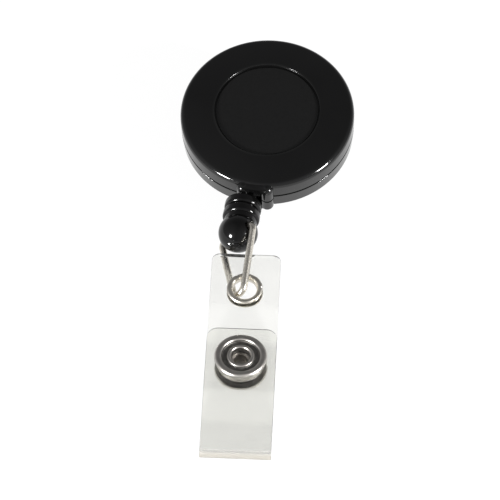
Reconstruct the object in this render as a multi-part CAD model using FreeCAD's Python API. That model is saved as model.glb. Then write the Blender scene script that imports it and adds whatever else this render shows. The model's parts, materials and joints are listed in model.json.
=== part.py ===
import FreeCAD, Part
import os
from math import sin, cos, tan, asin, acos, atan2, radians, pi, sqrt, hypot

# Retractable badge reel: a round case with a sprung spool and a cord, a ribbed cord-end fitting, a wire
# bail, and a vinyl strap that folds over on a ring snap. A spring-steel belt clip is riveted to the back.
# Millimetres and degrees. The reel lies on the flat tongue of its clip, cord exit towards -Y.

# ---- driving dimensions: case ----
case_diameter = 32.0
back_taper = 0.2                # how far the back cover tapers in, down to its flat face
back_edge_radius = 0.45
back_height = 3.3
seam_gap = 0.4
front_side_height = 2.4         # straight side of the front cover, below its rounded edge
front_edge_radius = 1.0
face_crown_radius = 90.0
case_wall = 1.2
lip_thickness = 0.6             # the front cover's locating lip, inside the back cover's rim
lip_depth = 0.8
lip_clearance = 0.05
lip_root = 0.5
rim_step = 0.6                  # extra wall of the back cover, below the lip
tongue_corner_radius = 0.2
recess_diameter = 19.4          # round label recess in the face
recess_depth = 0.55
recess_draft = 0.12
recess_corner_radius = 0.15
exit_width = 1.95
exit_floor = 1.8
exit_height = 3.1
lug_radius = 1.2
lug_inset = 0.1                 # the guide posts' axes stand this far inside the case's edge
lug_top = 7.0
lug_foot = 0.25
lug_dome = 0.96                 # rounding of the posts, as shares of their radius
lug_foot_rounding = 0.6
tongue_front = 0.9              # how far the plate between the posts reaches beyond their axes
tongue_step = 0.15              # how far it lies below their tops
tongue_foot_step = 0.3
clip_opening_angle = 9.2

# ---- driving dimensions: spool, spring and arbor ----
arbor_radius = 2.2
arbor_wall = 0.6
arbor_socket_depth = 0.4
arbor_end_gap = 0.1
arbor_floor = 0.7               # web left at the foot of the arbor's bore
running_clearance = 0.08
end_clearance = 0.25
flange_diameter = 27.0
flange_thickness = 0.6
drum_outer_radius = 9.4
drum_wall = 1.6
cord_diameter = 0.9
winding_depth = 2.7             # radial build of the wound cord
spring_thickness = 0.2
spring_packed_turns = 6
spring_packed_pitch = 0.3
spring_loose_turns = 3
spring_end_gap = 0.2
spring_hook_gap = 0.15
knot_radius = 0.7
end_knot_radius = 1.1
cord_split = 0.2                # share of the run from the exit to the fitting that stays with the case
cord_split_gap = 0.06
cord_feed_bends = [1.6, 1.4]    # bend radii at the gate and the mouth of the exit
cord_end_bend = 1.5

# ---- driving dimensions: belt clip ----
clip_thickness = 0.6
clip_width = 10.0
clip_bend_radius = 2.85         # middle of the strip
clip_bend_reach = 12.5          # case axis to the start of the bend
clip_plate_front = 9.5
clip_tongue_front = 11.0
clip_rib_height = 0.9
clip_rib_length = 3.6
clip_rib_from_tip = 1.4
clip_rib_radius = 0.9
clip_plate_rounding = 0.98
clip_tip_rounding = 0.9
hinge_slit = 0.04
rivet_shank_radius = 1.0
rivet_head_radius = 2.1
rivet_head_height = 0.55
rivet_head_rounding = 0.45
rivet_upset = 0.35
rivet_upset_height = 0.5
rivet_clearance = 0.02
washer_thickness = 0.3

# ---- driving dimensions: cord-end fitting and bail ----
fitting_offset = -1.85          # the fitting hangs to one side of the exit
fitting_axis_height = 4.52
fitting_gap = 1.95              # from the case's edge to the fitting's back
ring_diameter = 6.8
ring_length = 1.95
ring_groove = 0.2
ring_edge_radius = 0.6
groove_diameter = 5.8
ball_diameter = 7.2
ball_from_back = 7.0
neck_diameter = 6.0
ball_flat_diameter = 2.6
collar_radius = 1.6             # flared mouth that the cord runs into
collar_depth = 1.6
knot_seat_depth = 3.4
knot_chamber_radius = 1.25
cord_bore_clearance = 0.1
plug_length = 1.0
plug_proud = 0.15
plug_clearance = 0.02
cross_hole_twist = 50.0         # right-hand mouth turned up about the fitting's axis
wire_diameter = 1.25
wire_bore_clearance = 0.08
mouth_radius = 1.95             # where the cross hole's flared mouth clears the ball
mouth_depth = 0.8
mouth_length = 1.5
bail_swing_at_rest = 12.5
bail_play = 0.355               # between the ball and the bail's legs, at the cross hole
bail_reach = 13.325             # from the cross hole to the outside of the bail's tip
bail_tip_play = 0.64            # between the eyelet's rims and the bail's two legs, at its tip
bail_shoulder_radius = 1.0
bail_stub_end = 1.6
bail_slip = 0.2                 # the bail has slid this far along the cross hole, down and left

# ---- driving dimensions: vinyl strap, eyelet and snap ----
strap_width = 12.5
strap_thickness = 0.45
strap_corner_radius = 1.4
flap_corner_radius = 2.0
strap_heading = 5.66            # the strap runs this much towards +X from -Y
snap_to_side = 2.57             # from the case's middle plane to the snap's axis
snap_from_fitting = 33.51       # from the fitting's back to the snap's axis
fold_from_snap = 19.5           # to the middle of the fold's bend
strap_end_from_snap = 22.5
flap_end_from_snap = 6.5
eyelet_from_snap = 15.0
fold_radius = 0.6               # middle of the strap
strap_rise = 21.5               # slope up from the snap towards the bail
strap_end_rise = 5.0            # slope of the end that the bail holds up
strap_crest = 11.0              # snap axis to where the slope eases
strap_flat_half = 6.3           # flat length each side of the snap
strap_bend_radius = 12.0
strap_crest_radius = 6.0
eyelet_play = 1.525             # the eyelet's hole is wider than the wire by this, all round
eyelet_outer_radius = 3.25
eyelet_wall = 0.3
eyelet_flange_height = 0.32
eyelet_roll_height = 0.5
snap_radius = 4.7
snap_groove_outer = 3.5
snap_groove_inner = 2.55
snap_hole_radius = 1.75
snap_base_height = 0.6
snap_ring_height = 0.85
snap_plate_thickness = 0.3
snap_gap = 1.3                  # between the two vinyl layers at the snap
stud_radius = 2.5
socket_bore_radius = 3.0
socket_radius = 4.3
post_radius = 1.6
post_wall = 0.35
snap_post_floor = 0.25          # closed foot of the post's tube
snap_wire_diameter = 0.3
snap_rim_radius = 0.3
snap_roll_step = 0.2            # the inner roll is this much lower than the rim
snap_roll_radius = 0.28
snap_web_thickness = 0.28
snap_tube_wall = 0.47
flap_hole_clearance = 0.01
post_reach = 0.9                # the post's tube above the lower vinyl layer
stud_neck_depth = 0.2           # undercut of the stud, where the socket's spring sits
strap_floor_gap = 0.03
strap_floor_run = 6.0           # the strap comes down to the floor over this length
flap_fold_run = 2.5

# ---- sizes that follow from those ----
case_radius = case_diameter / 2
lug_reach = case_radius - lug_inset
fitting_back = -case_radius - fitting_gap
snap_place = (snap_to_side, fitting_back - snap_from_fitting)
seam_top = back_height + seam_gap
front_top = seam_top + front_side_height + front_edge_radius
crown_centre = front_top + (case_radius - front_edge_radius) ** 2 / (2 * face_crown_radius) - face_crown_radius
recess_radius = recess_diameter / 2
recess_floor = crown_centre + sqrt(face_crown_radius ** 2 - recess_radius ** 2) - recess_depth
cavity_top = recess_floor - case_wall
cavity_radius = case_radius - case_wall
lip_outer = cavity_radius + lip_thickness
lid_bottom = case_wall + end_clearance
web_top = cavity_top - end_clearance
web_bottom = web_top - flange_thickness
lid_top = lid_bottom + flange_thickness
winding_middle = (lid_top + web_bottom) / 2
winding_radius = drum_outer_radius + winding_depth
drum_inner_radius = drum_outer_radius - drum_wall
exit_middle = exit_floor + exit_height / 2
lug_spacing = exit_width / 2 + lug_radius
strip_half = strap_thickness / 2
lower_strap_middle = snap_base_height + strip_half
upper_strap_middle = snap_base_height + strap_thickness + snap_gap + strip_half
clip_middle = -clip_thickness / 2
floor_strap_middle = strip_half + strap_floor_gap
wire_radius = wire_diameter / 2
ball_radius = ball_diameter / 2
bail_half_width = ball_radius + wire_radius + bail_play
bail_length = bail_reach - wire_radius
bail_tip_radius = wire_radius + (strap_thickness + eyelet_flange_height + eyelet_roll_height
                                 + bail_tip_play) / 2
eyelet_inner_radius = wire_radius + eyelet_play
# height of the case's back face at its axis, so that the clip's tongue lies flat on the floor
tilt = radians(clip_opening_angle)
case_lift = (clip_thickness / 2 + clip_bend_radius * (1 + cos(tilt)) + clip_thickness / 2 * cos(tilt)
             - clip_bend_reach * sin(tilt))

V = FreeCAD.Vector
same_point = 1e-6               # points nearer than this are one point
through = 20.0                  # long enough for a cutting tool to pass right through a piece
X_AXIS = V(1, 0, 0)
Y_AXIS = V(0, 1, 0)
Z_AXIS = V(0, 0, 1)
ORIGIN = V(0, 0, 0)
parts = {}


# ---- shape helpers ----
def rounded_outline(corners, place):
    """Closed wire through corners (a, b, radius); place turns (a, b) into a point in space."""
    edges = []
    joints = []
    count = len(corners)
    for i, (a, b, radius) in enumerate(corners):
        before = corners[i - 1]
        after = corners[(i + 1) % count]
        here = V(a, b, 0)
        back = (V(before[0], before[1], 0) - here).normalize()
        ahead = (V(after[0], after[1], 0) - here).normalize()
        if radius <= 0:
            joints.append((here, None, here))
            continue
        half = back.getAngle(ahead) / 2
        run = radius / tan(half)
        bisector = (back + ahead).normalize()
        middle = here + bisector * (radius / sin(half) - radius)
        joints.append((here + back * run, middle, here + ahead * run))
    for i, (start, middle, end) in enumerate(joints):
        if middle is not None:
            edges.append(Part.Arc(place(start), place(middle), place(end)).toShape())
        following = joints[(i + 1) % count][0]
        if (following - end).Length > same_point:
            edges.append(Part.LineSegment(place(end), place(following)).toShape())
    return Part.Wire(edges)


def on_section(point):
    """Radius and height to a point in the XZ plane."""
    return V(point.x, 0, point.y)


def on_plan(point):
    return V(point.x, point.y, 0)


def lathe(corners):
    """Solid turned about Z from (radius, height, corner radius) points."""
    face = Part.Face(rounded_outline(corners, on_section))
    return face.revolve(ORIGIN, Z_AXIS, 360)


def ring(inner, outer, low, high, edge=0.0):
    return lathe([(inner, low, edge), (outer, low, edge), (outer, high, edge), (inner, high, edge)])


def disc(radius, low, high, edge=0.0):
    return lathe([(0, low, 0), (radius, low, edge), (radius, high, edge), (0, high, 0)])


def slab(corners, low, high):
    """Plate with a rounded plan outline between two heights."""
    face = Part.Face(rounded_outline(corners, on_plan))
    face.translate(V(0, 0, low))
    return face.extrude(V(0, 0, high - low))


def block(x0, x1, y0, y1, z0, z1):
    return Part.makeBox(x1 - x0, y1 - y0, z1 - z0, V(x0, y0, z0))


def centreline(corners):
    """Tangent runs and arcs along (a, b, radius) points.

    Each piece is ("line", start, end) or ("arc", centre, radius, start, end, a point outside its middle).
    """
    pieces = []
    last = V(corners[0][0], corners[0][1], 0)
    for i in range(1, len(corners) - 1):
        here = V(corners[i][0], corners[i][1], 0)
        back = (V(corners[i - 1][0], corners[i - 1][1], 0) - here).normalize()
        ahead = (V(corners[i + 1][0], corners[i + 1][1], 0) - here).normalize()
        radius = corners[i][2]
        half = back.getAngle(ahead) / 2
        start = here + back * (radius / tan(half))
        end = here + ahead * (radius / tan(half))
        centre = here + (back + ahead).normalize() * (radius / sin(half))
        pieces.append(("line", last, start))
        pieces.append(("arc", centre, radius, start, end, here))
        last = end
    pieces.append(("line", last, V(corners[-1][0], corners[-1][1], 0)))
    return pieces


def bent_strip(pieces, thickness, width, place):
    """Strip of even thickness that follows a centreline in its side view, extruded across X."""
    half = thickness / 2
    edges = []
    ends = []
    for piece in pieces:
        if piece[0] == "line":
            start, end = piece[1:]
            if (end - start).Length < same_point:
                continue
            along = (end - start).normalize()
            start_side = end_side = V(-along.y, along.x, 0)
            for offset in (half, -half):
                edges.append(Part.LineSegment(place(start + start_side * offset),
                                              place(end + end_side * offset)).toShape())
        else:
            centre, radius, start, end, corner = piece[1:]
            start_side = (start - centre).normalize()
            end_side = (end - centre).normalize()
            middle_side = (corner - centre).normalize()
            for offset in (half, -half):
                r = radius + offset
                edges.append(Part.Arc(place(centre + start_side * r), place(centre + middle_side * r),
                                      place(centre + end_side * r)).toShape())
        ends.append(((start, start_side), (end, end_side)))
    for point, side in (ends[0][0], ends[-1][1]):
        edges.append(Part.LineSegment(place(point + side * half), place(point - side * half)).toShape())
    solid = Part.Face(Part.Wire(Part.__sortEdges__(edges))).extrude(V(width, 0, 0))
    solid.translate(V(-width / 2, 0, 0))
    return solid


def in_side_view(point):
    """(y, z) of a side view to a point in the YZ plane."""
    return V(0, point.x, point.y)


def tube_along(points, radii, diameter):
    """Round cord or wire along straight runs joined by tangent arcs."""
    edges = []
    last = points[0]
    for i in range(1, len(points) - 1):
        here = points[i]
        back = (points[i - 1] - here).normalize()
        ahead = (points[i + 1] - here).normalize()
        half = back.getAngle(ahead) / 2
        run = radii[i - 1] / tan(half)
        middle = here + (back + ahead).normalize() * (radii[i - 1] / sin(half) - radii[i - 1])
        start = here + back * run
        end = here + ahead * run
        if (start - last).Length > same_point:
            edges.append(Part.LineSegment(last, start).toShape())
        edges.append(Part.Arc(start, middle, end).toShape())
        last = end
    edges.append(Part.LineSegment(last, points[-1]).toShape())
    path = Part.Wire(edges)
    along = (points[1] - points[0]).normalize()
    section = Part.Wire([Part.Circle(points[0], along, diameter / 2).toShape()])
    return path.makePipeShell([section], True, False)


# ---- places ----
def in_case(shape):
    """From the case's own frame (back face at z = 0) to where it lies, tilted on its clip."""
    placed = shape.copy()
    placed.rotate(ORIGIN, X_AXIS, clip_opening_angle)
    placed.translate(V(0, 0, case_lift))
    return placed


def case_point(x, y, z):
    return V(x, y * cos(tilt) - z * sin(tilt), case_lift + y * sin(tilt) + z * cos(tilt))


def in_fitting(shape):
    """From a lathe frame (back face at z = 0, ball at +Z) to the cord's line."""
    placed = shape.copy()
    placed.rotate(ORIGIN, X_AXIS, 90)
    placed.translate(V(fitting_offset, fitting_back, fitting_axis_height))
    return placed


def on_strap(shape):
    """From the strap's frame (snap axis at the origin, floor at z = 0) to where it lies."""
    placed = shape.copy()
    placed.rotate(ORIGIN, Z_AXIS, strap_heading)
    placed.translate(V(snap_place[0], snap_place[1], 0))
    return placed


# ---- case ----
def guide_posts(low, high, low_round, high_round):
    post = lathe([(0, low, 0), (lug_radius, low, low_round), (lug_radius, high, high_round), (0, high, 0)])
    pair = []
    for side in (-1, 1):
        one = post.copy()
        one.translate(V(side * lug_spacing, -lug_reach, 0))
        pair.append(one)
    return pair


def exit_plate(low, high):
    """Plate that joins the guide posts, above or below the cord's exit."""
    front = -lug_reach - tongue_front
    return slab([(-lug_spacing, front, tongue_corner_radius), (lug_spacing, front, tongue_corner_radius),
                 (lug_spacing, -cavity_radius, 0), (-lug_spacing, -cavity_radius, 0)], low, high)


def exit_slot():
    return block(-exit_width / 2, exit_width / 2, -lug_reach - 2 * lug_radius, -cavity_radius + case_wall,
                 exit_floor, exit_floor + exit_height)


def make_front_cover():
    body = disc(case_radius, seam_top, front_top + through)
    dome = Part.makeSphere(face_crown_radius, V(0, 0, crown_centre))
    body = body.common(dome)
    rim = [e for e in body.Edges if abs(e.BoundBox.ZMax - e.BoundBox.ZMin) < 1e-6
           and e.BoundBox.ZMin > seam_top and e.BoundBox.XLength > case_radius]
    body = body.makeFillet(front_edge_radius, rim)
    body = body.fuse(guide_posts(seam_top, lug_top, 0, lug_radius * lug_dome))
    body = body.fuse(exit_plate(exit_floor + exit_height, lug_top - tongue_step))
    body = body.fuse(ring(cavity_radius, lip_outer, back_height - lip_depth + lip_clearance,
                          seam_top + lip_root))
    recess = lathe([(0, recess_floor, 0), (recess_radius - recess_draft, recess_floor, recess_corner_radius),
                    (recess_radius, recess_floor + through, 0), (0, recess_floor + through, 0)])
    body = body.cut(recess)
    body = body.cut(disc(cavity_radius, back_height - lip_depth, cavity_top))
    body = body.cut(disc(arbor_radius + running_clearance, cavity_top - 0.1,
                         cavity_top + arbor_socket_depth + arbor_end_gap))
    body = body.cut(exit_slot())
    return body.removeSplitter()


def make_back_cover():
    body = lathe([(0, 0, 0), (case_radius - back_taper, 0, back_edge_radius), (case_radius, back_height, 0.1),
                  (0, back_height, 0)])
    body = body.fuse(guide_posts(lug_foot, back_height, lug_radius * lug_foot_rounding, 0))
    body = body.fuse(exit_plate(lug_foot + tongue_foot_step, exit_floor))
    body = body.cut(disc(cavity_radius - rim_step, case_wall, back_height + 1))
    body = body.cut(disc(lip_outer + lip_clearance, back_height - lip_depth, back_height + 1))
    body = body.cut(exit_slot())
    arbor_top = cavity_top + arbor_socket_depth
    arbor = disc(arbor_radius, case_wall - 0.2, arbor_top)
    bore = disc(arbor_radius - arbor_wall, case_wall + arbor_floor, arbor_top + 1)
    slit = block(0, arbor_radius + 1, -spring_thickness, spring_thickness, lid_top, arbor_top + 1)
    body = body.fuse(arbor)
    body = body.cut(bore)
    body = body.cut(slit)
    body = body.cut(disc(rivet_shank_radius + rivet_clearance, -1, case_wall + 2))
    return body.removeSplitter()


# ---- spool ----
def make_spool():
    hub_bore = arbor_radius + running_clearance
    web = ring(hub_bore, flange_diameter / 2, web_bottom, web_top, 0.1)
    barrel = ring(drum_inner_radius, drum_outer_radius, lid_top, web_bottom + 0.2)
    body = web.fuse(barrel)
    wall_middle = drum_outer_radius - drum_wall / 2
    pocket_height = 2 * knot_radius + 0.4
    pocket = Part.makeCylinder(knot_radius + 0.05, pocket_height, V(0, wall_middle, lid_top))
    gate = block(-cord_diameter / 2, cord_diameter / 2, wall_middle, drum_outer_radius + 1,
                 lid_top, lid_top + pocket_height)
    return body.cut(pocket).cut(gate).removeSplitter()


def make_spool_lid():
    return ring(arbor_radius + running_clearance, flange_diameter / 2, lid_bottom, lid_top, 0.1)


def half_turns():
    """Start radius and pitch of each half turn of the mainspring, from the outside in."""
    radius = drum_inner_radius - 2 * spring_thickness
    inner = arbor_radius + 2 * spring_thickness
    packed = spring_packed_turns * spring_packed_pitch
    loose_pitch = (radius - packed - inner) / spring_loose_turns
    turns = []
    for i in range(2 * (spring_packed_turns + spring_loose_turns)):
        pitch = spring_packed_pitch if i < 2 * spring_packed_turns else loose_pitch
        turns.append((radius, pitch))
        radius -= pitch / 2
    return turns


def make_mainspring():
    """Flat strip wound as half circles, its inner end turned through the arbor's slit."""
    edges = []
    side = 1
    half = spring_thickness / 2
    for start, pitch in half_turns():
        end = -side * (start - pitch / 2)
        x = side * start
        centre = (x + end) / 2
        r = abs(x - end) / 2
        for offset in (half, -half):
            edges.append(Part.Arc(V(x + side * offset, 0, 0), V(centre, side * (r + offset), 0),
                                  V(end - side * offset, 0, 0)).toShape())
        side = -side
    first = half_turns()[0][0]
    for x in (first, end):
        edges.append(Part.LineSegment(V(x + half, 0, 0), V(x - half, 0, 0)).toShape())
    sign = 1 if end > 0 else -1
    hook = sign * (arbor_radius - arbor_wall - spring_hook_gap)
    low, high = lid_top + spring_end_gap, web_bottom - spring_end_gap
    spiral = Part.Face(Part.Wire(Part.__sortEdges__(edges))).extrude(V(0, 0, high - low))
    spiral.translate(V(0, 0, low))
    inner_end = block(min(hook, end + sign * half), max(hook, end + sign * half), -half, half, low, high)
    return spiral.fuse(inner_end).removeSplitter()


def make_cord_winding():
    return ring(drum_outer_radius + 0.01, winding_radius, lid_top + 0.01, web_bottom - 0.01, 0.35)


def make_drum_knot():
    centre = V(0, drum_outer_radius - drum_wall / 2, lid_top + knot_radius + 0.1)
    neck = Part.makeCylinder(cord_diameter / 2 - 0.02, drum_wall / 2, centre, Y_AXIS)
    return Part.makeSphere(knot_radius, centre).fuse(neck)


# ---- cord between the winding and the fitting ----
def cord_route():
    """The cord leaves the winding at a tangent, passes the exit and turns into the fitting."""
    reach = winding_radius + cord_diameter / 2 + 0.15
    gate_y = -cavity_radius + 0.8
    touch = -pi / 2 + acos(reach / abs(gate_y))
    start = case_point(reach * cos(touch), reach * sin(touch), winding_middle)
    gate = case_point(0.1, gate_y, exit_middle - 0.15)
    mouth = case_point(-0.35, -lug_reach - 0.3, exit_middle - 0.45)
    inside = V(fitting_offset, fitting_back - collar_depth, fitting_axis_height)
    end = V(fitting_offset, fitting_back - knot_seat_depth, fitting_axis_height)
    return [start, gate, mouth, inside, end]


def make_cord_feed():
    start, gate, mouth, inside = cord_route()[:4]
    stop = mouth + (inside - mouth) * cord_split
    return tube_along([start, gate, mouth, stop], cord_feed_bends, cord_diameter)


def make_cord_end():
    mouth, inside, end = cord_route()[2:]
    begin = mouth + (inside - mouth) * (cord_split + cord_split_gap)
    return tube_along([begin, inside, end], [cord_end_bend], cord_diameter)


def make_fitting_knot():
    end = cord_route()[-1]
    return Part.makeSphere(end_knot_radius, end - V(0, end_knot_radius, 0))


# ---- belt clip ----
def clip_bend_centre():
    """Centre of the clip's bend in the case's side view."""
    return V(clip_bend_reach, clip_middle - clip_bend_radius, 0)


def arc_piece(centre, start, end):
    """Arc of a centreline, less than half a turn, from start to end."""
    between = ((start - centre) + (end - centre)).normalize()
    return ("arc", centre, (start - centre).Length, start, end, centre + between)


def tongue_plan(width, front, rounding):
    """Plan of a strip whose front end is rounded to this share of half its width."""
    half = width / 2
    back = clip_bend_reach + through
    return slab([(-half, front, half * rounding), (half, front, half * rounding),
                 (half, back, 0), (-half, back, 0)], -through, through)


def make_clip_plate():
    """Half round plate under the case, and the bend down to its outermost line."""
    centre = clip_bend_centre()
    bend_start = V(clip_bend_reach, clip_middle, 0)
    stop = hinge_slit / clip_bend_radius
    bend_end = centre + V(cos(stop), sin(stop), 0) * clip_bend_radius
    strip = bent_strip([("line", V(-clip_plate_front, clip_middle, 0), bend_start),
                        arc_piece(centre, bend_start, bend_end)],
                       clip_thickness, clip_width, in_side_view)
    strip = strip.common(tongue_plan(clip_width, -clip_plate_front, clip_plate_rounding))
    return strip.cut(disc(rivet_shank_radius + rivet_clearance, -through, through))


def make_clip_tongue():
    """Made on the floor: the tongue lies flat, with a pressed rib near its rounded tip."""
    in_frame = clip_bend_centre()
    placed = case_point(0, in_frame.x, in_frame.y)
    outermost = case_point(0, in_frame.x + clip_bend_radius, in_frame.y)
    centre = V(placed.y, placed.z, 0)
    foot = centre - V(0, clip_bend_radius, 0)
    tip = -clip_tongue_front
    rib_middle = tip + clip_rib_from_tip + clip_rib_length / 2
    flat = [(foot.x, foot.y, 0),
            (rib_middle + clip_rib_length / 2, foot.y, clip_rib_radius),
            (rib_middle, foot.y + clip_rib_height, clip_rib_radius),
            (rib_middle - clip_rib_length / 2, foot.y, clip_rib_radius),
            (tip, foot.y, 0)]
    bend = arc_piece(centre, V(outermost.y, outermost.z, 0), foot)
    strip = bent_strip([bend] + centreline(flat), clip_thickness, clip_width, in_side_view)
    return strip.common(tongue_plan(clip_width, tip, clip_tip_rounding))


def make_clip_rivet():
    washer_top = case_wall + arbor_floor + washer_thickness
    head = lathe([(0, -clip_thickness - rivet_head_height, 0),
                  (rivet_head_radius, -clip_thickness - rivet_head_height, rivet_head_rounding),
                  (rivet_head_radius, -clip_thickness, 0), (0, -clip_thickness, 0)])
    shank = disc(rivet_shank_radius, -clip_thickness - 0.1, washer_top + 0.1)
    upset = disc(rivet_shank_radius + rivet_upset, washer_top, washer_top + rivet_upset_height, 0.2)
    return head.fuse(shank).fuse(upset).removeSplitter()


def make_rivet_washer():
    return ring(rivet_shank_radius + rivet_clearance, arbor_radius - arbor_wall - 0.05,
                case_wall + arbor_floor, case_wall + arbor_floor + washer_thickness)


# ---- cord-end fitting ----
def hole_direction():
    twist = radians(cross_hole_twist)
    return V(cos(twist), 0, sin(twist))


def ball_centre():
    return V(fitting_offset, fitting_back - ball_from_back, fitting_axis_height)


def ball_flat_place():
    """How far the ball's flat end is from the fitting's back."""
    return ball_from_back + sqrt(ball_radius ** 2 - (ball_flat_diameter / 2) ** 2)


def make_end_fitting():
    ring_r = ring_diameter / 2
    groove_r = groove_diameter / 2
    pitch = ring_length + ring_groove
    first = lathe([(0, 0, 0), (ring_r, 0, ring_edge_radius), (ring_r, ring_length, ring_edge_radius),
                   (0, ring_length, 0)])
    second = first.copy()
    second.translate(V(0, 0, pitch))
    core = disc(groove_r, 0.3, pitch + ring_length)
    neck = disc(neck_diameter / 2, pitch + ring_length - 0.3, ball_from_back)
    ball = Part.makeSphere(ball_radius, V(0, 0, ball_from_back))
    flat_at = ball_flat_place()
    ball = ball.cut(disc(ball_radius, flat_at, flat_at + ball_radius))
    body = first.fuse([second, core, neck, ball])
    cord_bore = cord_diameter / 2 + cord_bore_clearance
    body = body.cut(Part.makeCone(collar_radius, cord_bore, collar_depth + cord_bore_clearance))
    body = body.cut(disc(cord_bore, -1, knot_seat_depth + 1))
    body = body.cut(disc(knot_chamber_radius, knot_seat_depth, flat_at + 1))
    placed = in_fitting(body)
    direction = hole_direction()
    centre = ball_centre()
    bore = Part.makeCylinder(wire_radius + wire_bore_clearance, 2 * ball_diameter,
                             centre - direction * ball_diameter, direction)
    placed = placed.cut(bore)
    for side in (-1, 1):
        funnel = Part.makeCone(wire_radius + wire_bore_clearance, mouth_radius, mouth_length,
                               centre + direction * (side * (ball_radius - mouth_depth)), direction * side)
        placed = placed.cut(funnel)
    return placed


def make_end_plug():
    radius = knot_chamber_radius - plug_clearance
    low = ball_flat_place() - plug_length
    high = ball_flat_place() + plug_proud
    return in_fitting(lathe([(0, low, 0), (radius, low, 0), (radius, high, plug_proud), (0, high, 0)]))


# ---- wire bail ----
def bail_point(across, along):
    """Point in the bail's plane: across is along the cross hole, along is away from it."""
    swing = radians(bail_swing_at_rest)
    u = hole_direction()
    ahead = V(0, -1, 0) * cos(swing) + u.cross(V(0, -1, 0)) * sin(swing)
    return ball_centre() + u * (across - bail_slip) + ahead * along


def make_wire_bail():
    """Open loop of wire: two stubs in the cross hole, straight legs and a round tip."""
    tip_centre = bail_length - bail_tip_radius
    lean = atan2(bail_half_width, tip_centre) - asin(bail_tip_radius / hypot(bail_half_width, tip_centre))
    apex = bail_half_width / tan(lean)
    points = [bail_point(bail_stub_end, 0), bail_point(bail_half_width, 0), bail_point(0, apex),
              bail_point(-bail_half_width, 0), bail_point(-bail_stub_end, 0)]
    return tube_along(points, [bail_shoulder_radius, bail_tip_radius, bail_shoulder_radius], wire_diameter)


# ---- vinyl strap ----
def strap_crest_height():
    return lower_strap_middle + (strap_crest - strap_flat_half) * tan(radians(strap_rise))


def strap_height_at(y):
    """Middle of the strap's top end, beyond the crest."""
    return strap_crest_height() + (y - strap_crest) * tan(radians(strap_end_rise))


def fold_centre():
    return V(-fold_from_snap, floor_strap_middle + fold_radius, 0)


def strap_plan(top_end, corner_radius):
    """Plan of one half of the strap: two rounded corners at its free end, open at the fold."""
    half = strap_width / 2
    return slab([(-half, -fold_from_snap - through, 0), (half, -fold_from_snap - through, 0),
                 (half, top_end, corner_radius), (-half, top_end, corner_radius)], -through, through)


def make_strap_back():
    run = [(strap_end_from_snap, strap_height_at(strap_end_from_snap), 0),
           (strap_crest, strap_crest_height(), strap_crest_radius),
           (strap_flat_half, lower_strap_middle, strap_bend_radius),
           (-strap_flat_half, lower_strap_middle, strap_bend_radius),
           (-strap_flat_half - strap_floor_run, floor_strap_middle, strap_bend_radius),
           (-fold_from_snap, floor_strap_middle, 0)]
    centre = fold_centre()
    outermost = centre - V(fold_radius, 0, 0)
    fold = arc_piece(centre, centre - V(0, fold_radius, 0), outermost)
    strip = bent_strip(centreline(run) + [fold], strap_thickness, strap_width, in_side_view)
    strip = strip.common(strap_plan(strap_end_from_snap, strap_corner_radius))
    strip = strip.cut(at_eyelet(disc(eyelet_inner_radius + eyelet_wall, -fold_radius, fold_radius)))
    return strip.cut(disc(post_radius, -through, through))


def make_strap_flap():
    centre = fold_centre()
    top = centre + V(0, fold_radius, 0)
    run = [(top.x, top.y, 0), (-fold_from_snap + flap_fold_run, top.y, strap_bend_radius),
           (-strap_flat_half, upper_strap_middle, strap_bend_radius),
           (flap_end_from_snap, upper_strap_middle, 0)]
    stop = pi - hinge_slit / fold_radius
    start = centre + V(cos(stop), sin(stop), 0) * fold_radius
    pieces = [arc_piece(centre, start, top)] + centreline(run)
    strip = bent_strip(pieces, strap_thickness, strap_width, in_side_view)
    strip = strip.common(strap_plan(flap_end_from_snap, flap_corner_radius))
    return strip.cut(disc(snap_hole_radius + snap_tube_wall + flap_hole_clearance, 0, through))


def at_eyelet(shape):
    placed = shape.copy()
    placed.rotate(ORIGIN, X_AXIS, strap_end_rise)
    placed.translate(V(0, eyelet_from_snap, strap_height_at(eyelet_from_snap)))
    return placed


def make_eyelet():
    inner, outer = eyelet_inner_radius, eyelet_outer_radius
    barrel = inner + eyelet_wall
    foot = -strip_half - eyelet_flange_height
    top = strip_half + eyelet_roll_height
    return at_eyelet(lathe([(inner, foot, 0.2), (outer, foot, 0.15), (outer, -strip_half, 0),
                            (barrel, -strip_half, 0), (barrel, strip_half, 0), (outer, strip_half, 0.1),
                            (outer, top, 0.35), (inner, top, 0.4)]))


# ---- ring snap ----
def make_snap_post():
    """Back half's outer piece: a cap with a tubular post that goes up through the vinyl."""
    top = snap_base_height + strap_thickness + post_reach
    base = disc(snap_radius, 0, snap_base_height, 0.18)
    body = base.fuse(disc(post_radius, snap_base_height - 0.2, top))
    return body.cut(disc(post_radius - post_wall, snap_post_floor, top + 1)).removeSplitter()


def make_snap_stud():
    low = snap_base_height + strap_thickness
    plate = low + snap_plate_thickness
    top = low + snap_gap - 0.25
    return lathe([(post_radius, low, 0), (socket_radius - 0.1, low, 0),
                  (socket_radius - 0.1, plate, 0.1), (stud_radius - stud_neck_depth, plate, 0.08),
                  (stud_radius - stud_neck_depth, plate + 0.25, 0), (stud_radius, top - 0.25, 0.1),
                  (stud_radius - 0.1, top, 0.12), (post_radius, top, 0)])


def make_snap_socket():
    under = snap_base_height + strap_thickness + snap_gap
    low = snap_base_height + strap_thickness + snap_plate_thickness + 0.15
    web = under - 0.18
    centre = snap_hole_radius + snap_tube_wall + flap_hole_clearance
    return lathe([(socket_bore_radius, low, 0.06), (socket_radius, low, 0.2),
                  (socket_radius, under, 0.1), (centre, under, 0),
                  (centre, web, 0), (socket_bore_radius, web, 0)])


def make_snap_spring():
    """Open ring of spring wire in the socket, round the stud."""
    radius = socket_bore_radius - snap_wire_diameter / 2 - 0.03
    height = snap_base_height + strap_thickness + snap_plate_thickness + 0.4
    spring = Part.makeTorus(radius, snap_wire_diameter / 2, ORIGIN, Z_AXIS, -180, 180, 320)
    spring.translate(V(0, 0, height))
    return spring


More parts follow.
